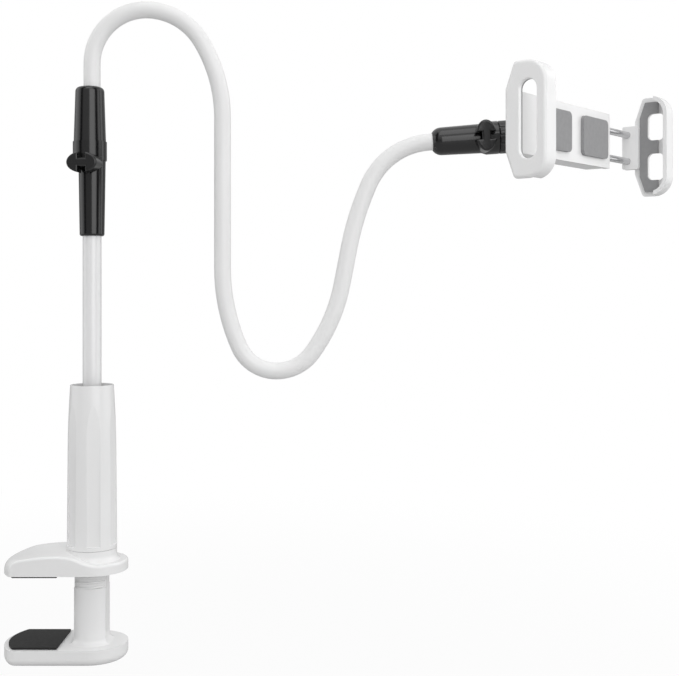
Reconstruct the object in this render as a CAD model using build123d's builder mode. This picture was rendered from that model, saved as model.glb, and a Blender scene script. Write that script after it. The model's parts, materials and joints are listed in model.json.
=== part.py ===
"""Phone holder: a spring jaw head on a bendable gooseneck, carried by a screw clamp for a table edge.

Millimetres, +Z up. The origin is where the clamp's upright axis meets the table top. The tongues of the
clamp reach towards -X over and under the table, and the gooseneck runs in the XZ plane towards +X.
"""
import os
from math import cos, radians, sin, sqrt

from build123d import *

os.makedirs("parts", exist_ok=True)

# Clearances
turn_gap = 0.06  # radial, a shaft that turns or slides in its hole
seat_gap = 0.05  # radial, a piece that is fixed in its hole
screw_gap = 0.3  # radial, the clamp's coarse screw thread
face_gap = 0.2  # between flat faces that turn or slide on each other
ball_gap = 0.2  # around the ball in its cup

# Table clamp
pad_thickness = 1.2
pad_margin = 2.5  # the pads stay this far inside the tongues' outline
table_gap = 38.3  # between the two pads
tongue_reach = 48.5  # pillar axis to the tongues' tips
tongue_radius = 20.2  # half the plates' width, and their round heel
nose_radius = 33.0  # the plates' bowed tip, seen from above
nose_corner = 6.0  # its two corners on the lower plate
tongue_flat = 16.0  # the flat underside begins this far from the pillar axis
tongue_crest = 12.2  # height of the upper tongue's back
crest_x = 15.0  # its distance from the pillar axis
nose_height = 6.9  # where the back's arc runs out, just past the tip
nose_round = 6.0  # upper edge of the upper tongue's tip
waist_height = 6.9  # where the back ends, beside the pillar
waist_x = 9.0  # past the pillar axis
rim_round = 1.4  # upper edge along the upper plate's sides and heel
collar_height = 13.2  # top of the collar that the pillar turns on
collar_flare = 4.2
flare_sink = 0.7  # the flare starts below the plate's back
plate_thickness = 9.1  # lower plate
plate_round = 4.0
column_radius = 10.9
column_flats = 17.6  # across the two flats that stop the column from turning
column_wall = 2.6  # behind the flats
thread_root = 10.1
thread_start = -8.0  # the column is plain below this
column_top = 48.0  # end of the screw column inside the pillar
column_chamfer = 1.1
column_fillet = 3.0
washer_thickness = 1.2
washer_width = 2.2

# Pillar that is turned to close the clamp
pillar_foot_radius = 13.95
pillar_shoulder_radius = 13.5
pillar_shoulder = 68.0
pillar_rim_radius = 12.1
pillar_top = 105.3
pillar_web = 76.0  # underside of the web between the screw and the arm's bush
pillar_web_thickness = 3.0
flute_count = 6
flute_width = 7.4
flute_depth_radius = 12.75  # pillar axis to the flat floor of a flute
flute_bottom = 15.6
flute_turn = 15.0  # degrees, the first flute's place past straight ahead
bush_floor = 3.0
bush_sink = 1.5  # the bush ends below the pillar's rim

# Upright tube and its coupling to the gooseneck
tube_radius = 5.25
tube_wall = 1.2
socket_bottom = 189.3
socket_bottom_radius = 6.9
socket_top_radius = 7.6
socket_round = 1.2
coupling_split = 232.0  # the socket meets the gooseneck's end sleeve
coupling_collar = 10.6
coupling_collar_radius = 9.5
sleeve_shift = 1.25  # the end sleeve's outside leans towards -X
sleeve_foot_radius = 9.0
sleeve_top = 273.6
sleeve_top_radius = 8.0
sleeve_round = 2.6
tube_insert = 10.0  # how far the tube reaches into the end sleeve

# Gooseneck
neck_radius = 4.75
core_radius = 2.6
core_insert = 4.0  # the core reaches past the covering at both ends
neck_insert = 20.0  # how far the covering reaches into each end sleeve
arch_rise = 13.4  # straight run above the lower end sleeve
arch_radius = 30.5
arch_far_radius = 37.0
arch_slope_radius = 84.0
fall_length = 85.0
valley_slope_radius = 110.0
valley_radius = 23.0
valley_far_radius = 25.0
valley_rise_radius = 98.0
climb_length = 21.5
brow_slope_radius = 165.0
brow_radius = 40.0
brow_lead = 2.0  # straight run before the upper end sleeve
arch_bends = ((arch_radius, 93.0), (arch_far_radius, 56.0), (arch_slope_radius, 31.0))  # with degrees
valley_bends = (
    (valley_slope_radius, 24.0),
    (valley_radius, 66.0),
    (valley_far_radius, 54.0),
    (valley_rise_radius, 25.0),
)
brow_bends = ((brow_slope_radius, 13.0), (brow_radius, 62.0))

# Upper end sleeve and ball cup, measured along the gooseneck's end axis
end_sleeve_length = 27.5
end_sleeve_radius = 7.85
end_sleeve_wide_radius = 8.3
end_sleeve_nose = 5.0  # length of the rounded end
end_sleeve_lip = 0.4  # flat ring left round the gooseneck
end_collar_length = 9.5
end_collar_radius = 9.3
end_collar_ramp = 2.6
spigot_radius = 5.0
spigot_length = 11.0
ball_radius = 6.5
cup_floor = 2.6  # solid behind the ball's seat
cup_radius = 7.9
cup_past_ball = 0.5
nut_radius = 9.3
nut_past_ball = 2.5
nut_round = 0.8
nut_grips = 12
nut_grip_radius = 0.9

# Cable clips
clip_width = 17.4
clip_length = 11.7  # along the cable
clip_root = 4.0  # its back, in front of the collar's axis
clip_slot = 4.0
clip_bar_width = 4.8
clip_bar_thickness = 2.0
clip_clear = 4.4  # between the collar and the bar
clip_round = 1.2
lower_clip_drop = 2.2  # the clip's middle below the coupling's split
lower_clip_turn = 6.0  # degrees from straight ahead towards -X
upper_clip_place = 29.0  # along the end axis

# Phone head. Its length runs from the fixed jaw to the moving jaw.
head_turn = 51.2  # degrees from +X to the head's length
opening = 151.3  # between the jaws
jaw_height = 59.5
jaw_depth = 23.7
jaw_end_depth = 18.6  # depth at the upper and lower ends
jaw_back_flat = 31.5  # straight middle of the back edge
jaw_plate = 2.4
jaw_corner = 11.0
jaw_back_corner = 2.5
lip_depth = 8.0
lip_wall = 2.4
lip_start = 8.5  # the lip's ends, behind the front edge
jaw_slot_width = 10.0
jaw_slot_height = 40.0
jaw_slot_front = 5.3  # from the front edge
jaw_window_corner = 3.2  # of the moving jaw's two windows
jaw_edge = 1.8  # rounding of a jaw's outer edge
slot_edge = 0.5
slot_bridge = 7.8  # bar across the moving jaw's slot
jaw_pad = 1.2
jaw_pad_margin = 2.8
arm_plate = 3.6
housing_left = 58.0  # from the head's middle
housing_right = 34.0
housing_depth = 12.15
housing_wall = 2.0
housing_block = 8.0  # solid ends that take the rods and screws
housing_corner = 3.0
housing_round = 2.5
back_pad_length = 30.0
back_pad_height = 22.0
back_pad_thickness = 2.0
back_pad_left = 12.0  # from the housing's end at the fixed jaw
back_pad_right = 6.0  # from its other end
back_pad_corner = 3.0

# Slide and springs
rod_radius = 2.0
rod_spacing = 16.0
rod_sink = 3.35  # rods behind the arm plate
yoke_thickness = 4.0
yoke_overhang = 3.4
yoke_depth = 5.0
yoke_place = 14.0  # left face, from the head's middle
spring_radius = 3.0
spring_wire = 0.6
block_width = 5.9  # the moving jaw's block along the head
block_height = 26.0
block_corner = 1.2
rod_cover = 1.2  # wall left over the rods' ends

# Ball stud and small fasteners
stud_offset = 14.05  # from the head's middle towards the fixed jaw
stud_rise = 1.0  # above the head's middle
stud_neck_radius = 2.5
stud_neck = 9.8  # from the ball's centre to the flare
stud_length = 19.6  # from the ball's centre to the housing's back
stud_base_radius = 10.0
stud_base = 2.5
stud_nut_flats = 8.0
stud_nut_thickness = 3.5
screw_radius = 1.1
screw_bite = 2.2  # into the plate that closes the housing
screw_head_radius = 2.4
screw_head = 1.8

# Derived heights of the clamp
plate_top = -table_gap - pad_thickness
bore_radius = column_radius + screw_gap
washer_radius = bore_radius + washer_width
pillar_bottom = collar_height + face_gap
bush_bottom = pillar_web + pillar_web_thickness
tube_bottom = bush_bottom + bush_floor + face_gap


def save(builder, name):
    """Label a finished piece and write it to its own file."""
    builder.part.label = name
    export_step(builder.part, f"parts/{name}.step")


def clamp_plan(inset):
    """The clamp plates' outline from above, moved inwards: bowed tip, straight sides and round heel."""
    with Locations((nose_radius - tongue_reach, 0)):
        Circle(nose_radius - inset)
    Rectangle(tongue_reach, 2 * (tongue_radius - inset), align=(Align.MAX, Align.CENTER), mode=Mode.INTERSECT)
    Circle(tongue_radius - inset)


def on_tip(edge):
    """True for the upper edge of the upper tongue's tip."""
    middle = edge @ 0.5
    inset = nose_radius - Vector(middle.X - nose_radius + tongue_reach, middle.Y).length
    return abs(inset) < seat_gap and abs(middle.Y) < seat_gap and middle.Z > pad_thickness + seat_gap


def on_rim(edge):
    """True for the edges along the upper plate's sides and heel, down to the corners of its tip."""
    middle = edge @ 0.5
    inset = tongue_radius - Vector(max(middle.X, 0), middle.Y).length
    upright = edge.bounding_box().size.Z > edge.length - seat_gap
    return inset < seat_gap and middle.Z > pad_thickness + seat_gap and (middle.X < -crest_x or not upright)


def on_foot(edge):
    """True for the edges where the column stands on the lower plate."""
    middle = edge @ 0.5
    inset = column_radius - Vector(middle.X, middle.Y).length
    return inset > -seat_gap and abs(middle.Z - plate_top) < seat_gap


def column_section(radius, flats):
    """A circle with two flats, which face along X."""
    Circle(radius)
    Rectangle(flats, 2 * radius, mode=Mode.INTERSECT)


def clip(plane, seat_radius):
    """Cable clip: a slotted oval boss on a collar, bridged by a bar. Local Y runs along the cable."""
    stand = seat_radius + clip_clear + clip_bar_thickness
    with BuildPart() as piece:
        with BuildSketch(plane.offset(clip_root)):
            Ellipse(clip_width / 2, clip_length / 2)
            Rectangle(clip_slot, clip_length, mode=Mode.SUBTRACT)
        extrude(amount=stand - clip_root)
        with BuildSketch(plane.offset(stand - clip_bar_thickness)):
            Rectangle(clip_width / 2, clip_bar_width)
        extrude(amount=clip_bar_thickness)
        front = piece.faces().sort_by(Axis(plane.origin, plane.z_dir))[-1]
        fillet(front.edges(), radius=clip_round)
        with BuildSketch(Plane(plane.origin, x_dir=plane.x_dir, z_dir=plane.y_dir)):
            Circle(seat_radius + seat_gap)
        extrude(amount=clip_length, both=True, mode=Mode.SUBTRACT)
    return piece


# Upper clamp plate with the collar that carries the pillar
with BuildPart() as upper_jaw:
    with BuildSketch(Plane.XZ):
        with BuildLine():
            nose_end = -tongue_reach - rim_round
            heel_end = tongue_radius + rim_round
            Polyline(
                (nose_end, nose_height),
                (nose_end, pad_thickness),
                (heel_end, pad_thickness),
                (heel_end, waist_height),
                (waist_x, waist_height),
            )
            TangentArc((-crest_x, tongue_crest), (nose_end, nose_height), tangent=(-1, 0))
            middle = ((waist_x - crest_x) / 2, (waist_height + tongue_crest) / 2)
            back = TangentArc((-crest_x, tongue_crest), middle, tangent=(1, 0))
            TangentArc(middle, (waist_x, waist_height), tangent=back % 1)
        make_face()
    extrude(amount=tongue_radius, both=True)
    with BuildSketch():
        clamp_plan(0)
    extrude(amount=collar_height, mode=Mode.INTERSECT)
    fillet(upper_jaw.edges().filter_by(on_tip), radius=nose_round)
    fillet(upper_jaw.edges().filter_by(on_rim), radius=rim_round)
    with BuildSketch(Plane.XZ):
        with BuildLine():
            flare_foot = waist_height - flare_sink
            wall = Line((pillar_foot_radius, flare_foot + collar_flare), (pillar_foot_radius, collar_height))
            Polyline(wall @ 1, (bore_radius, collar_height), (bore_radius, pad_thickness))
            flare_radius = pillar_foot_radius + collar_flare
            Polyline((bore_radius, pad_thickness), (flare_radius, pad_thickness), (flare_radius, flare_foot))
            RadiusArc((flare_radius, flare_foot), wall @ 0, collar_flare)
        make_face()
    revolve(axis=Axis.Z)
    with BuildSketch():
        column_section(bore_radius, column_flats + 2 * screw_gap)
    extrude(amount=collar_height, mode=Mode.SUBTRACT)
    with BuildSketch(Plane.XY.offset(collar_height - washer_thickness)):
        Circle(washer_radius + seat_gap)
    extrude(amount=washer_thickness, mode=Mode.SUBTRACT)
save(upper_jaw, "upper_jaw")

with BuildPart() as upper_jaw_pad:
    with BuildSketch():
        clamp_plan(pad_margin)
        with Locations((-tongue_flat, 0)):
            Rectangle(tongue_reach, 2 * tongue_radius, align=(Align.MAX, Align.CENTER), mode=Mode.INTERSECT)
    extrude(amount=pad_thickness)
save(upper_jaw_pad, "upper_jaw_pad")

with BuildPart() as thrust_washer:
    with BuildSketch(Plane.XY.offset(collar_height - washer_thickness)):
        Circle(washer_radius)
        Circle(bore_radius, mode=Mode.SUBTRACT)
    extrude(amount=washer_thickness)
save(thrust_washer, "thrust_washer")

# Lower clamp plate, moulded in one with the hollow screw column
with BuildPart() as lower_jaw:
    with BuildSketch(Plane.XY.offset(plate_top)) as plate_plan:
        clamp_plan(0)
        fillet(plate_plan.vertices().sort_by(Axis.X)[:2], radius=nose_corner)
    extrude(amount=-plate_thickness)
    fillet(lower_jaw.faces().sort_by(Axis.Z)[0].edges(), radius=plate_round)
    with BuildSketch(Plane.XY.offset(plate_top)):
        column_section(column_radius, column_flats)
    extrude(amount=thread_start - plate_top)
    fillet(lower_jaw.edges().filter_by(on_foot), radius=column_fillet)
    with BuildSketch(Plane.XY.offset(thread_start)):
        column_section(thread_root, column_flats)
    extrude(amount=column_top - thread_start)
    chamfer(lower_jaw.faces().sort_by(Axis.Z)[-1].edges(), length=column_chamfer)
    with BuildSketch(Plane.XY.offset(plate_top - plate_thickness)):
        Circle(column_flats / 2 - column_wall)
    extrude(amount=column_top - column_wall - plate_top + plate_thickness, mode=Mode.SUBTRACT)
save(lower_jaw, "lower_jaw")

with BuildPart() as lower_jaw_pad:
    with BuildSketch(Plane.XY.offset(plate_top)):
        clamp_plan(pad_margin)
        with Locations((-tongue_flat, 0)):
            Rectangle(tongue_reach, 2 * tongue_radius, align=(Align.MAX, Align.CENTER), mode=Mode.INTERSECT)
    extrude(amount=pad_thickness)
save(lower_jaw_pad, "lower_jaw_pad")

# Fluted pillar: its threaded bore pulls the column up, and its mouth holds the arm's bush
with BuildPart() as pillar_grip:
    with BuildSketch(Plane.XZ):
        with BuildLine():
            side = Line((pillar_foot_radius, pillar_bottom), (pillar_shoulder_radius, pillar_shoulder))
            shoulder = TangentArc(side @ 1, (pillar_rim_radius, pillar_top), tangent=side % 1)
            Polyline(shoulder @ 1, (0, pillar_top), (0, pillar_bottom), (pillar_foot_radius, pillar_bottom))
        make_face()
    revolve(axis=Axis.Z)
    with BuildSketch(Plane.XY.offset(flute_bottom)):
        with PolarLocations(flute_depth_radius, flute_count, start_angle=flute_turn - 90):
            Rectangle(pillar_foot_radius, flute_width, align=(Align.MIN, Align.CENTER))
    extrude(amount=pillar_top, mode=Mode.SUBTRACT)
    with BuildSketch(Plane.XY.offset(pillar_bottom)):
        Circle(bore_radius)
    extrude(amount=pillar_web - pillar_bottom, mode=Mode.SUBTRACT)
    with BuildSketch(Plane.XY.offset(bush_bottom)):
        Circle(bore_radius)
    extrude(amount=pillar_top - bush_bottom, mode=Mode.SUBTRACT)
save(pillar_grip, "pillar_grip")

with BuildPart() as tube_bush:
    with BuildSketch(Plane.XY.offset(bush_bottom)):
        Circle(bore_radius - seat_gap)
    extrude(amount=pillar_top - bush_sink - bush_bottom)
    with BuildSketch(Plane.XY.offset(bush_bottom + bush_floor)):
        Circle(tube_radius + turn_gap)
    extrude(amount=pillar_top, mode=Mode.SUBTRACT)
save(tube_bush, "tube_bush")

# Upright steel tube
tube_top = coupling_split + tube_insert
with BuildPart() as upright_tube:
    with BuildSketch(Plane.XY.offset(tube_bottom)):
        Circle(tube_radius)
        Circle(tube_radius - tube_wall, mode=Mode.SUBTRACT)
    extrude(amount=tube_top - tube_bottom)
save(upright_tube, "upright_tube")

# Coupling: the socket on the tube and the gooseneck's lower end sleeve
with BuildPart() as tube_socket:
    with BuildSketch(Plane.XZ):
        with BuildLine():
            Polyline(
                (tube_radius + seat_gap, socket_bottom),
                (socket_bottom_radius, socket_bottom),
                (socket_top_radius, coupling_split),
                (tube_radius + seat_gap, coupling_split),
                close=True,
            )
        make_face()
    revolve(axis=Axis.Z)
    rim = tube_socket.faces().sort_by(Axis.Z)[0].edges().sort_by(SortBy.LENGTH)[-1]
    fillet(rim, radius=socket_round)
save(tube_socket, "tube_socket")

neck_start = sleeve_top - neck_insert
core_start = neck_start - core_insert
with BuildPart() as lower_end_sleeve:
    with BuildSketch(Plane.XZ):
        with BuildLine():
            Polyline(
                (-sleeve_shift, coupling_split),
                (coupling_collar_radius - sleeve_shift, coupling_split),
                (coupling_collar_radius - sleeve_shift, coupling_split + coupling_collar),
                (sleeve_foot_radius - sleeve_shift, coupling_split + coupling_collar),
                (sleeve_top_radius - sleeve_shift, sleeve_top),
                (-sleeve_shift, sleeve_top),
                close=True,
            )
        make_face()
    revolve(axis=Axis((-sleeve_shift, 0, 0), (0, 0, 1)))
    fillet(lower_end_sleeve.faces().sort_by(Axis.Z)[-1].edges(), radius=sleeve_round)
    with BuildSketch(Plane.XY.offset(coupling_split)):
        Circle(tube_radius + seat_gap)
    extrude(amount=tube_insert, mode=Mode.SUBTRACT)
    with BuildSketch(Plane.XY.offset(neck_start)):
        Circle(neck_radius + seat_gap)
    extrude(amount=neck_insert, mode=Mode.SUBTRACT)
    with BuildSketch(Plane.XY.offset(core_start)):
        Circle(core_radius + seat_gap)
    extrude(amount=core_insert, mode=Mode.SUBTRACT)
save(lower_end_sleeve, "lower_end_sleeve")

clip_turn = radians(lower_clip_turn)
lower_clip_plane = Plane(
    (-sleeve_shift, 0, coupling_split - lower_clip_drop),
    x_dir=(cos(clip_turn), -sin(clip_turn), 0),
    z_dir=(-sin(clip_turn), -cos(clip_turn), 0),
)
lower_cable_clip = clip(lower_clip_plane, coupling_collar_radius)
save(lower_cable_clip, "lower_cable_clip")


def bend(previous, bends, side):
    """A chain of tangent arcs after an edge. Side is 1 for a left turn and -1 for a right turn."""
    for radius, degrees in bends:
        previous = JernArc(previous @ 1, previous % 1, radius, side * degrees)
    return previous


# Gooseneck route: up, over the arch, down, round the valley, up again and out level
with BuildLine(Plane.XZ) as neck_route:
    rise = Line((0, neck_start), (0, sleeve_top + arch_rise))
    arch = bend(rise, arch_bends, -1)
    fall = PolarLine(arch @ 1, fall_length, direction=arch % 1)
    valley = bend(fall, valley_bends, 1)
    climb = PolarLine(valley @ 1, climb_length, direction=valley % 1)
    brow = bend(climb, brow_bends, -1)
    PolarLine(brow @ 1, brow_lead + neck_insert, direction=brow % 1)
route = neck_route.wires()[0]
end_axis = route % 1
mouth = route @ 1 - end_axis * neck_insert

with BuildPart() as gooseneck_cover:
    with BuildSketch(Plane.XY.offset(neck_start)):
        Circle(neck_radius)
        Circle(core_radius + seat_gap, mode=Mode.SUBTRACT)
    sweep(path=route)
save(gooseneck_cover, "gooseneck_cover")

with BuildPart() as gooseneck_core:
    with BuildSketch(Plane.XY.offset(neck_start)):
        Circle(core_radius)
    sweep(path=route)
    with BuildSketch(Plane.XY.offset(neck_start)):
        Circle(core_radius)
    extrude(amount=-core_insert)
    with BuildSketch(Plane(route @ 1, z_dir=end_axis)):
        Circle(core_radius)
    extrude(amount=core_insert)
save(gooseneck_core, "gooseneck_core")

# Pieces round the end axis. Local X runs along the axis from the sleeve's mouth, local Y is the radius.
end_plane = Plane(mouth, x_dir=end_axis, z_dir=(0, -1, 0))
end_line = Axis(mouth, end_axis)
sleeve_end = end_sleeve_length + end_collar_length
spigot_start = sleeve_end - spigot_length
core_end = neck_insert + core_insert

with BuildPart() as upper_end_sleeve:
    with BuildSketch(end_plane):
        with BuildLine():
            taper = Line((end_sleeve_nose, end_sleeve_radius), (end_sleeve_length, end_sleeve_wide_radius))
            nose = TangentArc(taper @ 0, (0, neck_radius + end_sleeve_lip), tangent=taper % 0 * -1)
            Polyline(
                taper @ 1,
                (end_sleeve_length + end_collar_ramp, end_collar_radius),
                (sleeve_end, end_collar_radius),
                (sleeve_end, spigot_radius + turn_gap),
                (spigot_start, spigot_radius + turn_gap),
                (spigot_start, 0),
                (0, 0),
                nose @ 1,
            )
        make_face()
    revolve(axis=end_line)
    with BuildSketch(Plane(mouth, z_dir=end_axis)):
        Circle(neck_radius + seat_gap)
    extrude(amount=neck_insert, mode=Mode.SUBTRACT)
    with BuildSketch(Plane(mouth, z_dir=end_axis)):
        Circle(core_radius + seat_gap)
    extrude(amount=core_end, mode=Mode.SUBTRACT)
save(upper_end_sleeve, "upper_end_sleeve")

upper_clip_plane = Plane(mouth + end_axis * upper_clip_place, x_dir=end_plane.y_dir, z_dir=(0, -1, 0))
upper_cable_clip = clip(upper_clip_plane, end_collar_radius)
save(upper_cable_clip, "upper_cable_clip")

cavity_radius = ball_radius + ball_gap
cup_start = sleeve_end + face_gap
ball_reach = cup_start + cup_floor + cavity_radius  # from the sleeve's mouth to the ball's centre
cup_end = ball_reach + cup_past_ball
cup_lip = sqrt(cavity_radius**2 - cup_past_ball**2)
with BuildPart() as ball_cup:
    with BuildSketch(end_plane):
        with BuildLine():
            Polyline(
                (ball_reach - cavity_radius, 0),
                (spigot_start + face_gap, 0),
                (spigot_start + face_gap, spigot_radius),
                (cup_start, spigot_radius),
                (cup_start, cup_radius),
                (cup_end, cup_radius),
                (cup_end, cup_lip),
            )
            half = cavity_radius * sqrt(0.5)
            ThreePointArc((cup_end, cup_lip), (ball_reach - half, half), (ball_reach - cavity_radius, 0))
        make_face()
    revolve(axis=end_line)
save(ball_cup, "ball_cup")

nut_start = cup_start + face_gap
nut_step = cup_end + face_gap
nut_end = ball_reach + nut_past_ball
step_radius = sqrt(cavity_radius**2 - (nut_step - ball_reach) ** 2)
lip_radius = sqrt(cavity_radius**2 - nut_past_ball**2)
with BuildPart() as lock_nut:
    with BuildSketch(end_plane):
        with BuildLine():
            Polyline(
                (nut_step, step_radius),
                (nut_step, cup_radius + turn_gap),
                (nut_start, cup_radius + turn_gap),
                (nut_start, nut_radius),
                (nut_end, nut_radius),
                (nut_end, lip_radius),
            )
            RadiusArc((nut_end, lip_radius), (nut_step, step_radius), -cavity_radius)
        make_face()
    revolve(axis=end_line)
    rims = lock_nut.edges().filter_by(GeomType.CIRCLE)
    fillet(rims.filter_by(lambda edge: edge.radius > nut_radius - seat_gap), radius=nut_round)
    with BuildSketch(Plane(mouth + end_axis * nut_start, z_dir=end_axis)):
        with PolarLocations(nut_radius + nut_grip_radius / 2, nut_grips):
            Circle(nut_grip_radius)
    extrude(amount=nut_end - nut_start, mode=Mode.SUBTRACT)
save(lock_nut, "lock_nut")

# Head frame: X along the head, Y up, Z out of the phone's screen. Its origin is midway between the jaws.
turn = radians(head_turn)
along = Vector(cos(turn), sin(turn), 0)
out = Vector(sin(turn), -cos(turn), 0)
ball_centre = mouth + end_axis * ball_reach
jaw_front = jaw_depth / 2
jaw_back = -jaw_depth / 2
housing_back = jaw_back - housing_depth
head_centre = ball_centre + along * stud_offset + out * (stud_length - housing_back) - Vector(0, 0, stud_rise)
head = Plane(head_centre, x_dir=along, z_dir=out)
stud_line = Axis(ball_centre, out)
inner_left = -housing_left + housing_block
inner_right = housing_right - housing_block
rod_z = jaw_back - rod_sink
screw_places = [(-housing_left + housing_block / 2, 0), (housing_right - housing_block / 2, 0)]

# Ball, neck, flared base and threaded shank in one turned piece
shank_end = stud_length + housing_wall + face_gap + stud_nut_thickness
with BuildPart() as ball_stud:
    with BuildSketch(Plane(ball_centre, x_dir=out, z_dir=along)):
        with BuildLine():
            neck_foot = sqrt(ball_radius**2 - stud_neck_radius**2)
            ThreePointArc((-ball_radius, 0), (0, ball_radius), (neck_foot, stud_neck_radius))
            neck_line = Line((neck_foot, stud_neck_radius), (stud_neck, stud_neck_radius))
            TangentArc(
                neck_line @ 1,
                (stud_length - face_gap - stud_base, stud_base_radius),
                tangent=neck_line % 1,
            )
            Polyline(
                (stud_length - face_gap - stud_base, stud_base_radius),
                (stud_length - face_gap, stud_base_radius),
                (stud_length - face_gap, stud_neck_radius),
                (shank_end, stud_neck_radius),
                (shank_end, 0),
                (-ball_radius, 0),
            )
        make_face()
    revolve(axis=stud_line)
save(ball_stud, "ball_stud")

with BuildPart() as stud_nut:
    with BuildSketch(head.offset(housing_back + housing_wall + face_gap)):
        with Locations((-stud_offset, stud_rise)):
            RegularPolygon(stud_nut_flats / 2, 6, major_radius=False)
            Circle(stud_neck_radius + seat_gap, mode=Mode.SUBTRACT)
    extrude(amount=stud_nut_thickness)
save(stud_nut, "stud_nut")


def jaw_plane(side):
    """A jaw's inner face. Local X points out of the screen and local Z away from the phone."""
    return Plane(head_centre + along * (side * opening / 2), x_dir=out, z_dir=along * side)


def jaw_outline(sketch):
    """A jaw's outline: round front corners, and a back edge that stands out in the middle."""
    Polygon(
        (jaw_front, jaw_height / 2),
        (jaw_front - jaw_end_depth, jaw_height / 2),
        (jaw_back, jaw_back_flat / 2),
        (jaw_back, -jaw_back_flat / 2),
        (jaw_front - jaw_end_depth, -jaw_height / 2),
        (jaw_front, -jaw_height / 2),
        align=None,
    )
    fillet(sketch.vertices().sort_by(Axis.X)[2:4], radius=jaw_back_corner)
    fillet(sketch.vertices().sort_by(Axis.X)[-2:], radius=jaw_corner)


def jaw_slots(bridge):
    """The jaw's tall window, split in two where a bridge crosses it."""
    with Locations((jaw_front - jaw_slot_front - jaw_slot_width / 2, 0)):
        if bridge:
            part_height = (jaw_slot_height - bridge) / 2
            with GridLocations(0, part_height + bridge, 1, 2):
                RectangleRounded(jaw_slot_width, part_height, jaw_window_corner, mode=Mode.SUBTRACT)
        else:
            SlotOverall(jaw_slot_height, jaw_slot_width, rotation=90, mode=Mode.SUBTRACT)


def jaw_shell(side, bridge):
    """A jaw's end plate with its windows, and the lip along its front edge."""
    plane = jaw_plane(side)
    with BuildPart() as shell:
        with BuildSketch(plane) as plate:
            jaw_outline(plate)
            jaw_slots(bridge)
        extrude(amount=jaw_plate)
        with BuildSketch(plane) as lip:
            jaw_outline(lip)
            offset(lip.sketch_local, amount=-lip_wall, mode=Mode.SUBTRACT)
            with Locations((jaw_front, 0)):
                Rectangle(lip_start, jaw_height, align=(Align.MAX, Align.CENTER), mode=Mode.INTERSECT)
        extrude(amount=-lip_depth)
    return shell.part


def round_jaw(piece, side):
    """Round the outer face of a finished jaw: its outline well, and the edges of its windows a little."""
    outer = piece.faces().sort_by(Axis(head_centre, along * side))[-1]
    fillet(outer.inner_wires().edges(), radius=slot_edge)
    outer = piece.faces().sort_by(Axis(head_centre, along * side))[-1]
    fillet(outer.outer_wire().edges(), radius=jaw_edge)


def jaw_pad_piece(side, bridge):
    """Soft pad on a jaw's inner face."""
    with BuildPart() as piece:
        with BuildSketch(jaw_plane(side)) as face:
            jaw_outline(face)
            offset(face.sketch_local, amount=-jaw_pad_margin, mode=Mode.REPLACE)
            with Locations((jaw_front - lip_start, 0)):
                Rectangle(jaw_depth, jaw_height, align=(Align.MAX, Align.CENTER), mode=Mode.INTERSECT)
            with Locations((jaw_back + arm_plate + seat_gap, 0)):
                Rectangle(jaw_depth, jaw_height, align=(Align.MIN, Align.CENTER), mode=Mode.INTERSECT)
            jaw_slots(bridge)
        extrude(amount=-jaw_pad)
    return piece


# Fixed jaw, moulded in one with the plate that closes the housing
arm_left = -opening / 2 - jaw_plate
with BuildPart() as fixed_jaw:
    add(jaw_shell(-1, 0))
    with BuildSketch(head.offset(jaw_back)):
        with Locations((arm_left, 0)):
            Rectangle(housing_right - arm_left, jaw_back_flat, align=(Align.MIN, Align.CENTER))
    extrude(amount=arm_plate)
    with BuildSketch(head.offset(jaw_back)):
        with Locations(*screw_places):
            Circle(screw_radius + seat_gap)
    extrude(amount=screw_bite + face_gap, mode=Mode.SUBTRACT)
    round_jaw(fixed_jaw, -1)
save(fixed_jaw, "fixed_jaw")

fixed_jaw_pad = jaw_pad_piece(-1, 0)
save(fixed_jaw_pad, "fixed_jaw_pad")

# Rear housing with solid ends for the rods and screws
with BuildPart() as rear_housing:
    with BuildSketch(head.offset(housing_back)):
        with Locations(((housing_right - housing_left) / 2, 0)):
            RectangleRounded(housing_left + housing_right, jaw_back_flat, housing_corner)
    extrude(amount=housing_depth)
    fillet(rear_housing.faces().sort_by(stud_line)[0].edges(), radius=housing_round)
    with BuildSketch(head.offset(housing_back + housing_wall)):
        with Locations(((inner_left + inner_right) / 2, 0)):
            Rectangle(inner_right - inner_left, jaw_back_flat - 2 * housing_wall)
    extrude(amount=housing_depth, mode=Mode.SUBTRACT)
    with BuildSketch(Plane(head.from_local_coords((inner_right, 0, rod_z)), x_dir=(0, 0, 1), z_dir=along)):
        with GridLocations(rod_spacing, 0, 2, 1):
            Circle(rod_radius + turn_gap)
    extrude(amount=housing_block, mode=Mode.SUBTRACT)
    with BuildSketch(head.offset(housing_back)):
        with Locations(*screw_places):
            Circle(screw_radius + seat_gap)
        with Locations((-stud_offset, stud_rise)):
            Circle(stud_neck_radius + turn_gap)
    extrude(amount=housing_depth, mode=Mode.SUBTRACT)
    with BuildSketch(head.offset(housing_back)):
        with Locations(*screw_places):
            Circle(screw_head_radius + seat_gap)
    extrude(amount=screw_head, mode=Mode.SUBTRACT)
save(rear_housing, "rear_housing")

with BuildPart() as housing_screws:
    with BuildSketch(head.offset(housing_back)):
        with Locations(*screw_places):
            Circle(screw_head_radius)
    extrude(amount=screw_head)
    with BuildSketch(head.offset(housing_back + screw_head)):
        with Locations(*screw_places):
            Circle(screw_radius)
    extrude(amount=housing_depth + screw_bite - screw_head)
save(housing_screws, "housing_screws")

back_pad_places = [
    (-housing_left + back_pad_left + back_pad_length / 2, 0),
    (housing_right - back_pad_right - back_pad_length / 2, 0),
]
with BuildPart() as back_pads:
    with BuildSketch(head.offset(jaw_back + arm_plate)):
        with Locations(*back_pad_places):
            RectangleRounded(back_pad_length, back_pad_height, back_pad_corner)
    extrude(amount=back_pad_thickness)
save(back_pads, "back_pads")

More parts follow.
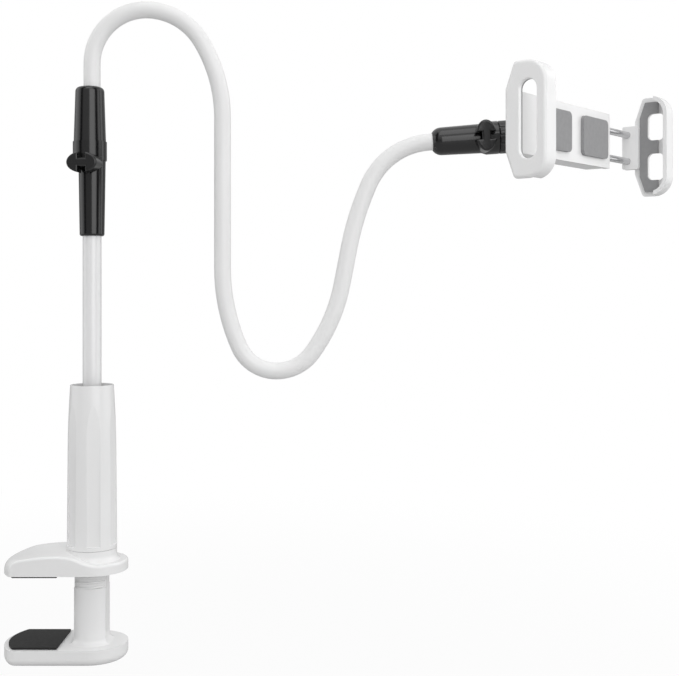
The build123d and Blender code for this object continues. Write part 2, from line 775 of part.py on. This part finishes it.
# Moving jaw, with a block behind it that grips the guide rods
block_left = opening / 2 + jaw_plate - block_width
with BuildPart() as moving_jaw:
    add(jaw_shell(1, slot_bridge))
    with BuildSketch(Plane(head.from_local_coords((block_left, 0, 0)), x_dir=out, z_dir=along)):
        with Locations((jaw_back + arm_plate, 0)):
            block_depth = arm_plate + 2 * rod_sink
            RectangleRounded(block_depth, block_height, block_corner, align=(Align.MAX, Align.CENTER))
    extrude(amount=block_width)
    with BuildSketch(Plane(head.from_local_coords((block_left, 0, rod_z)), x_dir=(0, 0, 1), z_dir=along)):
        with GridLocations(rod_spacing, 0, 2, 1):
            Circle(rod_radius + seat_gap)
    extrude(amount=block_width - rod_cover, mode=Mode.SUBTRACT)
    round_jaw(moving_jaw, 1)
save(moving_jaw, "moving_jaw")

moving_jaw_pad = jaw_pad_piece(1, slot_bridge)
save(moving_jaw_pad, "moving_jaw_pad")

rod_end = block_left + block_width - rod_cover
with BuildPart() as guide_rods:
    with BuildSketch(Plane(head.from_local_coords((-yoke_place, 0, rod_z)), x_dir=(0, 0, 1), z_dir=along)):
        with GridLocations(rod_spacing, 0, 2, 1):
            Circle(rod_radius)
    extrude(amount=rod_end + yoke_place)
save(guide_rods, "guide_rods")

with BuildPart() as slide_yoke:
    with BuildSketch(Plane(head.from_local_coords((-yoke_place, 0, rod_z)), x_dir=(0, 0, 1), z_dir=along)):
        Rectangle(rod_spacing + 2 * yoke_overhang, yoke_depth)
        with GridLocations(rod_spacing, 0, 2, 1):
            Circle(rod_radius + seat_gap, mode=Mode.SUBTRACT)
    extrude(amount=yoke_thickness)
save(slide_yoke, "slide_yoke")

spring_left = -yoke_place + yoke_thickness
with BuildPart() as jaw_springs:
    with BuildSketch(Plane(head.from_local_coords((spring_left, 0, rod_z)), x_dir=(0, 0, 1), z_dir=along)):
        with GridLocations(rod_spacing, 0, 2, 1):
            Circle(spring_radius)
            Circle(spring_radius - spring_wire, mode=Mode.SUBTRACT)
    extrude(amount=inner_right - spring_left)
save(jaw_springs, "jaw_springs")
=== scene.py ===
"""Looks of the phone holder: finishes, coil springs, the clamp's thread, floor, light and camera."""

import json
from math import cos, pi, radians, sin

import bmesh
import bpy
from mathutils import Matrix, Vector

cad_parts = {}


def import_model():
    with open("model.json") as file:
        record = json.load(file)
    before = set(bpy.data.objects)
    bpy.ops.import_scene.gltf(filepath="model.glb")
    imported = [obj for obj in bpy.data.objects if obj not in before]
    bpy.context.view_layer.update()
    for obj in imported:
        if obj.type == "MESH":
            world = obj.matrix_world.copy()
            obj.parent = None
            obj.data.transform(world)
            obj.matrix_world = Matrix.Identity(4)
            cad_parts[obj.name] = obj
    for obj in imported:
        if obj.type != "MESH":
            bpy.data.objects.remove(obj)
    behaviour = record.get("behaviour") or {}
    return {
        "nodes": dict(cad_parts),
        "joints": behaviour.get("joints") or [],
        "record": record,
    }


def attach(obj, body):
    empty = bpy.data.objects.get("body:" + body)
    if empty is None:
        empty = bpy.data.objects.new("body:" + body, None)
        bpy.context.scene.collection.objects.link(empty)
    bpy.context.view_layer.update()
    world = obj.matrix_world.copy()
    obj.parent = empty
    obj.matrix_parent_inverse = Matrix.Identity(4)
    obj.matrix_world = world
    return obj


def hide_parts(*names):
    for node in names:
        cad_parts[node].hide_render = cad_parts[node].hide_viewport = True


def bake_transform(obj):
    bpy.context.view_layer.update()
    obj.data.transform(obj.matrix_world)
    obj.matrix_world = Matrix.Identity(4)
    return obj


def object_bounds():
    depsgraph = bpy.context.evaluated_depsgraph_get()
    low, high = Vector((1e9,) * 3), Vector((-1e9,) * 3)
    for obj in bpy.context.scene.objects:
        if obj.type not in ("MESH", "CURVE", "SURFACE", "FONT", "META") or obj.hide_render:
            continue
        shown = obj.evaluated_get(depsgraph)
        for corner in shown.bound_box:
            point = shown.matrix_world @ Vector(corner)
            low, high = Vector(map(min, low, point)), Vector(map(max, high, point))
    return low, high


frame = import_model()
cad_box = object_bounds()
nodes = frame["nodes"]
joints = {joint["name"]: joint for joint in frame["joints"]}

# Camera: place in metres, lens and sensor in millimetres, shift as a share of the sensor
CAMERA_PLACE = (0.1401, -0.6654, 0.1605)
CAMERA_LENS = 62.3
CAMERA_SENSOR = 36.0
CAMERA_SHIFT = -0.0751  # the lens looks level and takes in more below, so uprights stay parallel

# Studio light by direction: a tall soft panel in front, dark gaps beside it and a white backdrop behind.
# Each stop is a place from 0 to 1 and a brightness there.
# Bearings run from front to back, and heights from straight down to straight up.
BEARING_STOPS = ((0.0, 1.0), (0.12, 1.0), (0.17, 0.06), (0.36, 0.06), (0.44, 0.9), (1.0, 0.9))
HEIGHT_STOPS = ((0.0, 0.4), (0.5, 0.4), (0.55, 0.45), (0.67, 0.75), (0.82, 1.05), (1.0, 1.05))
BRIGHTEST_STOP = 4.0  # the curves hold no brightness above this

# Lamps: name, place, side of the square in metres, power in watts
LAMP_AIM = (0.12, 0, 0.15)
LAMPS = (
    ("key", (0.1, -0.45, 1.4), 1.0, 3.2),
    ("front", (0.6, -1.0, 0.45), 0.9, 4.5),
    ("left", (-1.2, 0.0, 0.4), 1.2, 3.8),
    ("right", (1.4, 0.1, 0.5), 1.2, 4.6),
)

# Floor
FLOOR_DROP = 0.0205  # floor below the object's lowest point, clear of the clamp when it is wide open
FLOOR_SIZE = 12.0
FLOOR_COLOUR = (0.5, 0.5, 0.5, 1)
FLOOR_GLOW = 0.94  # share of plain white in what the camera sees of the floor near the object
FLOOR_FADE = (0.15, 0.7)  # the floor turns plain white between these distances

# Screw thread on the clamp's column
THREAD_PITCH = 0.0028
THREAD_BOTTOM = -0.0096
THREAD_TOP = 0.0455
THREAD_CENTRE = 0.0101  # from the column's axis to the ridge's middle
THREAD_RIDGE = 0.0008  # height of the ridge
THREAD_SPREAD = 0.9  # its half width along the axis, as a share of its height
THREAD_ENDS = (34, 146)  # degrees, the ridge stops at the column's flats
THREAD_STEPS = 22  # pieces in the ridge from flat to flat
THREAD_TIP = 0.35  # share of the ridge's height at its ends
THREAD_TAPER = 4  # how fast the height grows from there

# Springs on the guide rods
SPRING_TURNS = 11
SPRING_WIRE = 0.0003  # radius of the wire
SPRING_STEPS = 28  # points in a turn

# Sides of the springs' wire and of the thread's ridge
TUBE_SIDES = 8

# Scale of the noise on bare metal along each axis, finest in height
LEVEL_LINES = (1, 1, 6)


def link(tree, source, target):
    """Join an output socket to an input socket."""
    tree.links.new(source, target)


def start_material(name, colour, roughness):
    """A new material with one principled shader. Noise may take over its plain colour and roughness."""
    material = bpy.data.materials.new(name)
    material.use_nodes = True
    tree = material.node_tree
    tree.nodes.clear()
    output = tree.nodes.new("ShaderNodeOutputMaterial")
    shader = tree.nodes.new("ShaderNodeBsdfPrincipled")
    shader.inputs["Base Color"].default_value = (*colour, 1)
    shader.inputs["Roughness"].default_value = roughness
    link(tree, shader.outputs["BSDF"], output.inputs["Surface"])
    return material, tree, shader


def noise(tree, scale, detail=2.0, stretch=(1, 1, 1)):
    """Noise in the object's own metres, with more detail or another scale along an axis if asked."""
    place = tree.nodes.new("ShaderNodeTexCoord")
    mapping = tree.nodes.new("ShaderNodeMapping")
    mapping.inputs["Scale"].default_value = stretch
    texture = tree.nodes.new("ShaderNodeTexNoise")
    texture.inputs["Scale"].default_value = scale
    texture.inputs["Detail"].default_value = detail
    link(tree, place.outputs["Object"], mapping.inputs["Vector"])
    link(tree, mapping.outputs["Vector"], texture.inputs["Vector"])
    return texture.outputs["Fac"]


def vary_colour(tree, shader, factor, low, high):
    """Base colour that drifts between two shades."""
    ramp = tree.nodes.new("ShaderNodeValToRGB")
    ramp.color_ramp.elements[0].color = (*low, 1)
    ramp.color_ramp.elements[1].color = (*high, 1)
    link(tree, factor, ramp.inputs["Fac"])
    link(tree, ramp.outputs["Color"], shader.inputs["Base Color"])


def vary_roughness(tree, shader, factor, low, high):
    """Roughness that drifts between two values."""
    spread = tree.nodes.new("ShaderNodeMapRange")
    spread.inputs["To Min"].default_value = low
    spread.inputs["To Max"].default_value = high
    link(tree, factor, spread.inputs["Value"])
    link(tree, spread.outputs["Result"], shader.inputs["Roughness"])


def bump(tree, shader, height, strength, distance):
    """Relief on the shader's normal."""
    node = tree.nodes.new("ShaderNodeBump")
    node.inputs["Strength"].default_value = strength
    node.inputs["Distance"].default_value = distance
    link(tree, height, node.inputs["Height"])
    link(tree, node.outputs["Normal"], shader.inputs["Normal"])


def white_plastic():
    """Moulded white plastic, softly glossy with a faint grain."""
    material, tree, shader = start_material("white_plastic", (0.83, 0.83, 0.83), roughness=0.3)
    shader.inputs["Specular IOR Level"].default_value = 0.5
    vary_colour(tree, shader, noise(tree, scale=22, detail=0), (0.82, 0.82, 0.822), (0.84, 0.84, 0.84))
    vary_roughness(tree, shader, noise(tree, scale=3000), low=0.18, high=0.26)
    bump(tree, shader, noise(tree, scale=5200), strength=0.04, distance=0.00003)
    return material


def white_paint():
    """Sprayed white paint on the steel tube, with a little orange peel."""
    material, tree, shader = start_material("white_paint", (0.83, 0.83, 0.84), roughness=0.18)
    shader.inputs["Coat Weight"].default_value = 0.5
    shader.inputs["Coat Roughness"].default_value = 0.08
    vary_colour(tree, shader, noise(tree, scale=25, detail=0), (0.82, 0.82, 0.824), (0.84, 0.84, 0.845))
    vary_roughness(tree, shader, noise(tree, scale=2500), low=0.14, high=0.22)
    bump(tree, shader, noise(tree, scale=900), strength=0.04, distance=0.00004)
    return material


def white_rubber():
    """Soft white covering of the gooseneck, smooth with a dull gloss."""
    material, tree, shader = start_material("white_rubber", (0.83, 0.83, 0.83), roughness=0.34)
    vary_colour(tree, shader, noise(tree, scale=30, detail=0), (0.815, 0.815, 0.815), (0.84, 0.84, 0.84))
    vary_roughness(tree, shader, noise(tree, scale=300), low=0.36, high=0.42)
    bump(tree, shader, noise(tree, scale=300), strength=0.02, distance=0.00003)
    return material


def black_plastic():
    """Moulded black plastic, glossy with a very fine grain."""
    material, tree, shader = start_material("black_plastic", (0.006, 0.006, 0.0065), roughness=0.3)
    shader.inputs["Specular IOR Level"].default_value = 0.6
    shade = noise(tree, scale=140, detail=3)
    vary_colour(tree, shader, shade, (0.003, 0.003, 0.0035), (0.006, 0.006, 0.0065))
    vary_roughness(tree, shader, noise(tree, scale=2400), low=0.13, high=0.21)
    bump(tree, shader, noise(tree, scale=4200), strength=0.06, distance=0.00004)
    return material


def rubber(name, low, high, roughness):
    """Dull rubber with a fine open grain."""
    material, tree, shader = start_material(name, high, roughness)
    shader.inputs["Specular IOR Level"].default_value = 0.3
    vary_colour(tree, shader, noise(tree, scale=420, detail=4), low, high)
    wear = noise(tree, scale=900, detail=3)
    vary_roughness(tree, shader, wear, low=roughness - 0.1, high=roughness + 0.08)
    bump(tree, shader, noise(tree, scale=3000, detail=4), strength=0.35, distance=0.00012)
    return material


def metal(name, colour, roughness):
    """Bare metal with fine level lines."""
    material, tree, shader = start_material(name, colour, roughness)
    shader.inputs["Metallic"].default_value = 1.0
    lines = noise(tree, scale=900, detail=4, stretch=LEVEL_LINES)
    vary_roughness(tree, shader, lines, low=roughness * 0.75, high=roughness * 1.4)
    bump(tree, shader, lines, strength=0.08, distance=0.00003)
    return material


materials = {
    "white_plastic": white_plastic(),
    "white_paint": white_paint(),
    "white_rubber": white_rubber(),
    "black_plastic": black_plastic(),
    "black_rubber": rubber("black_rubber", (0.010, 0.010, 0.010), (0.022, 0.022, 0.022), roughness=0.72),
    "grey_rubber": rubber("grey_rubber", (0.26, 0.26, 0.265), (0.31, 0.31, 0.315), roughness=0.62),
    "steel": metal("steel", (0.62, 0.62, 0.63), roughness=0.22),
    "core_metal": metal("core_metal", (0.75, 0.75, 0.76), roughness=0.35),
}


def dress(piece, slot):
    """Give a piece its slot's material and no other."""
    piece.data.materials.clear()
    piece.data.materials.append(materials[slot])


for subpart in frame["record"]["subparts"]:
    dress(nodes[subpart["node"]], subpart["material_slot"])


def mesh_piece(name, bm):
    """A smooth-shaded mesh object from a bmesh."""
    mesh = bpy.data.meshes.new(name)
    bmesh.ops.recalc_face_normals(bm, faces=bm.faces)
    bm.to_mesh(mesh)
    bm.free()
    for polygon in mesh.polygons:
        polygon.use_smooth = True
    piece = bpy.data.objects.new(name, mesh)
    bpy.context.scene.collection.objects.link(piece)
    return piece


def tube_along(bm, points, normals, binormals, radii):
    """A closed tube through points, with its section spanned by two directions at each point."""
    rings = []
    for point, normal, binormal, radius in zip(points, normals, binormals, radii):
        ring = []
        for i in range(TUBE_SIDES):
            angle = 2 * pi * i / TUBE_SIDES
            offset = normal * (radius * cos(angle)) + binormal * (radius * sin(angle))
            ring.append(bm.verts.new(point + offset))
        rings.append(ring)
    for a, b in zip(rings, rings[1:]):
        for i in range(TUBE_SIDES):
            j = (i + 1) % TUBE_SIDES
            bm.faces.new((a[i], a[j], b[j], b[i]))
    bm.faces.new(rings[0])
    bm.faces.new(rings[-1])


def coil(bm, start, axis, across, length, radius, turns, wire):
    """A helical wire about the axis, capped at both ends."""
    side = axis.cross(across).normalized()
    points, normals, binormals = [], [], []
    count = turns * SPRING_STEPS
    for i in range(count + 1):
        share = i / count
        angle = 2 * pi * turns * share
        ray = across * cos(angle) + side * sin(angle)
        points.append(start + axis * (length * share) + ray * radius)
        normals.append(ray)
        tangent = (side * cos(angle) - across * sin(angle)) * (2 * pi * turns * radius) + axis * length
        binormals.append(tangent.normalized().cross(ray))
    tube_along(bm, points, normals, binormals, [wire] * len(points))


# Coil springs, from the yoke that rides with the moving jaw to the housing's block
along = Vector(joints["jaw_slide"]["axis"])
up = Vector((0, 0, 1))
corners = [Vector(v.co) for v in nodes["jaw_springs"].data.vertices]
near = min(corner.dot(along) for corner in corners)
far = max(corner.dot(along) for corner in corners)
between = sum(corner.z for corner in corners) / len(corners)
upper = [corner for corner in corners if corner.z > between]
lower = [corner for corner in corners if corner.z <= between]
spring_bm = bmesh.new()
for group in (upper, lower):
    middle = sum(group, Vector()) / len(group)
    outer = (max(c.z for c in group) - min(c.z for c in group)) / 2
    start = middle + along * (near - middle.dot(along) + SPRING_WIRE)
    end = middle + along * (far - middle.dot(along) - SPRING_WIRE)
    coil(spring_bm, start, along, up, (end - start).length, outer - SPRING_WIRE, SPRING_TURNS, SPRING_WIRE)
springs = mesh_piece("coil_springs", spring_bm)
dress(springs, "steel")
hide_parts("jaw_springs")
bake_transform(springs)


def thread_ridge(bm, turn_start, side):
    """Half a turn of the thread's ridge, from flat to flat, tapered at both ends."""
    points, normals, binormals, radii = [], [], [], []
    for i in range(THREAD_STEPS + 1):
        share = i / THREAD_STEPS
        degrees = side + THREAD_ENDS[0] + (THREAD_ENDS[1] - THREAD_ENDS[0]) * share
        angle = radians(degrees)
        ray = Vector((cos(angle), sin(angle), 0))
        points.append(ray * THREAD_CENTRE + Vector((0, 0, turn_start + THREAD_PITCH * degrees / 360)))
        normals.append(ray)
        binormals.append(Vector((0, 0, THREAD_SPREAD)))
        radii.append(THREAD_RIDGE * min(1, THREAD_TIP + THREAD_TAPER * min(share, 1 - share)))
    tube_along(bm, points, normals, binormals, radii)


# Thread on the column, which the pillar's bore runs on
thread_bm = bmesh.new()
turn_start = THREAD_BOTTOM
while turn_start + THREAD_PITCH < THREAD_TOP:
    for side in (0, 180):
        thread_ridge(thread_bm, turn_start, side)
    turn_start += THREAD_PITCH
thread = mesh_piece("column_thread", thread_bm)
dress(thread, "white_plastic")
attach(thread, "clamp_bottom")


def floor_material():
    """Pale floor: plain white mixed into what the camera sees, so that it meets the background."""
    material = bpy.data.materials.new("floor")
    material.use_nodes = True
    tree = material.node_tree
    tree.nodes.clear()
    output = tree.nodes.new("ShaderNodeOutputMaterial")
    diffuse = tree.nodes.new("ShaderNodeBsdfDiffuse")
    diffuse.inputs["Color"].default_value = FLOOR_COLOUR
    glow = tree.nodes.new("ShaderNodeEmission")
    path = tree.nodes.new("ShaderNodeLightPath")
    share = tree.nodes.new("ShaderNodeMath")
    share.operation = "MULTIPLY"
    place = tree.nodes.new("ShaderNodeTexCoord")
    distance = tree.nodes.new("ShaderNodeVectorMath")
    distance.operation = "LENGTH"
    fade = tree.nodes.new("ShaderNodeMapRange")
    fade.interpolation_type = "SMOOTHSTEP"
    fade.inputs["From Min"].default_value = FLOOR_FADE[0]
    fade.inputs["From Max"].default_value = FLOOR_FADE[1]
    fade.inputs["To Min"].default_value = FLOOR_GLOW
    mix = tree.nodes.new("ShaderNodeMixShader")
    link(tree, place.outputs["Object"], distance.inputs[0])
    link(tree, distance.outputs["Value"], fade.inputs["Value"])
    link(tree, fade.outputs["Result"], share.inputs[1])
    link(tree, path.outputs["Is Camera Ray"], share.inputs[0])
    link(tree, share.outputs["Value"], mix.inputs["Fac"])
    link(tree, diffuse.outputs["BSDF"], mix.inputs[1])
    link(tree, glow.outputs["Emission"], mix.inputs[2])
    link(tree, mix.outputs["Shader"], output.inputs["Surface"])
    return material


def floor():
    """A plain floor under the object."""
    mesh = bpy.data.meshes.new("floor")
    half = FLOOR_SIZE / 2
    height = cad_box[0].z - FLOOR_DROP
    mesh.from_pydata(
        [(-half, -half, height), (half, -half, height), (half, half, height), (-half, half, height)],
        [],
        [(0, 1, 2, 3)],
    )
    piece = bpy.data.objects.new("floor", mesh)
    bpy.context.scene.collection.objects.link(piece)
    mesh.materials.append(floor_material())


def direction_ramp(tree, coordinate, stops):
    """Brightness along one direction, from -1 to 1, by a ramp of stops."""
    spread = tree.nodes.new("ShaderNodeMapRange")
    spread.inputs["From Min"].default_value = -1.0
    curve = tree.nodes.new("ShaderNodeFloatCurve")
    points = curve.mapping.curves[0].points
    while len(points) < len(stops):
        points.new(0.5, 0.5)
    for point, (position, brightness) in zip(points, stops):
        point.location = (position, brightness)
        point.handle_type = "VECTOR"
    curve.mapping.clip_max_y = BRIGHTEST_STOP
    curve.mapping.update()
    link(tree, coordinate, spread.inputs["Value"])
    link(tree, spread.outputs["Result"], curve.inputs["Value"])
    return curve.outputs["Value"]


def world():
    """White for the camera. Light and reflections see the studio, which changes by bearing and height."""
    surround = bpy.data.worlds.new("studio")
    bpy.context.scene.world = surround
    surround.use_nodes = True
    tree = surround.node_tree
    tree.nodes.clear()
    output = tree.nodes.new("ShaderNodeOutputWorld")
    white = tree.nodes.new("ShaderNodeBackground")
    white.inputs["Color"].default_value = (1, 1, 1, 1)
    studio = tree.nodes.new("ShaderNodeBackground")
    direction = tree.nodes.new("ShaderNodeTexCoord")
    split = tree.nodes.new("ShaderNodeSeparateXYZ")
    level = tree.nodes.new("ShaderNodeVectorMath")
    level.operation = "MULTIPLY"
    level.inputs[1].default_value = (1, 1, 0)
    bearing = tree.nodes.new("ShaderNodeVectorMath")
    bearing.operation = "NORMALIZE"
    bearing_split = tree.nodes.new("ShaderNodeSeparateXYZ")
    product = tree.nodes.new("ShaderNodeMath")
    product.operation = "MULTIPLY"
    path = tree.nodes.new("ShaderNodeLightPath")
    mix = tree.nodes.new("ShaderNodeMixShader")
    link(tree, direction.outputs["Generated"], split.inputs["Vector"])
    link(tree, direction.outputs["Generated"], level.inputs[0])
    link(tree, level.outputs["Vector"], bearing.inputs[0])
    link(tree, bearing.outputs["Vector"], bearing_split.inputs["Vector"])
    link(tree, direction_ramp(tree, bearing_split.outputs["Y"], BEARING_STOPS), product.inputs[0])
    link(tree, direction_ramp(tree, split.outputs["Z"], HEIGHT_STOPS), product.inputs[1])
    link(tree, product.outputs["Value"], studio.inputs["Color"])
    link(tree, path.outputs["Is Camera Ray"], mix.inputs["Fac"])
    link(tree, studio.outputs["Background"], mix.inputs[1])
    link(tree, white.outputs["Background"], mix.inputs[2])
    link(tree, mix.outputs["Shader"], output.inputs["Surface"])


def area_light(name, place, size, power):
    """A square soft light aimed at the object's middle."""
    data = bpy.data.lights.new(name, "AREA")
    data.size = size
    data.energy = power
    lamp = bpy.data.objects.new(name, data)
    lamp.location = place
    lamp.rotation_euler = (Vector(LAMP_AIM) - Vector(place)).to_track_quat("-Z", "Y").to_euler()
    bpy.context.scene.collection.objects.link(lamp)


def camera():
    """The photograph's viewpoint: level, about halfway up the object."""
    data = bpy.data.cameras.new("camera")
    data.lens = CAMERA_LENS
    data.sensor_width = CAMERA_SENSOR
    data.shift_y = CAMERA_SHIFT
    viewer = bpy.data.objects.new("camera", data)
    viewer.location = CAMERA_PLACE
    viewer.rotation_euler = (radians(90), 0, 0)
    bpy.context.scene.collection.objects.link(viewer)
    bpy.context.scene.camera = viewer


floor()
world()
for name, place, size, power in LAMPS:
    area_light(name, place, size, power)
camera()
bpy.context.scene.view_settings.view_transform = "Standard"
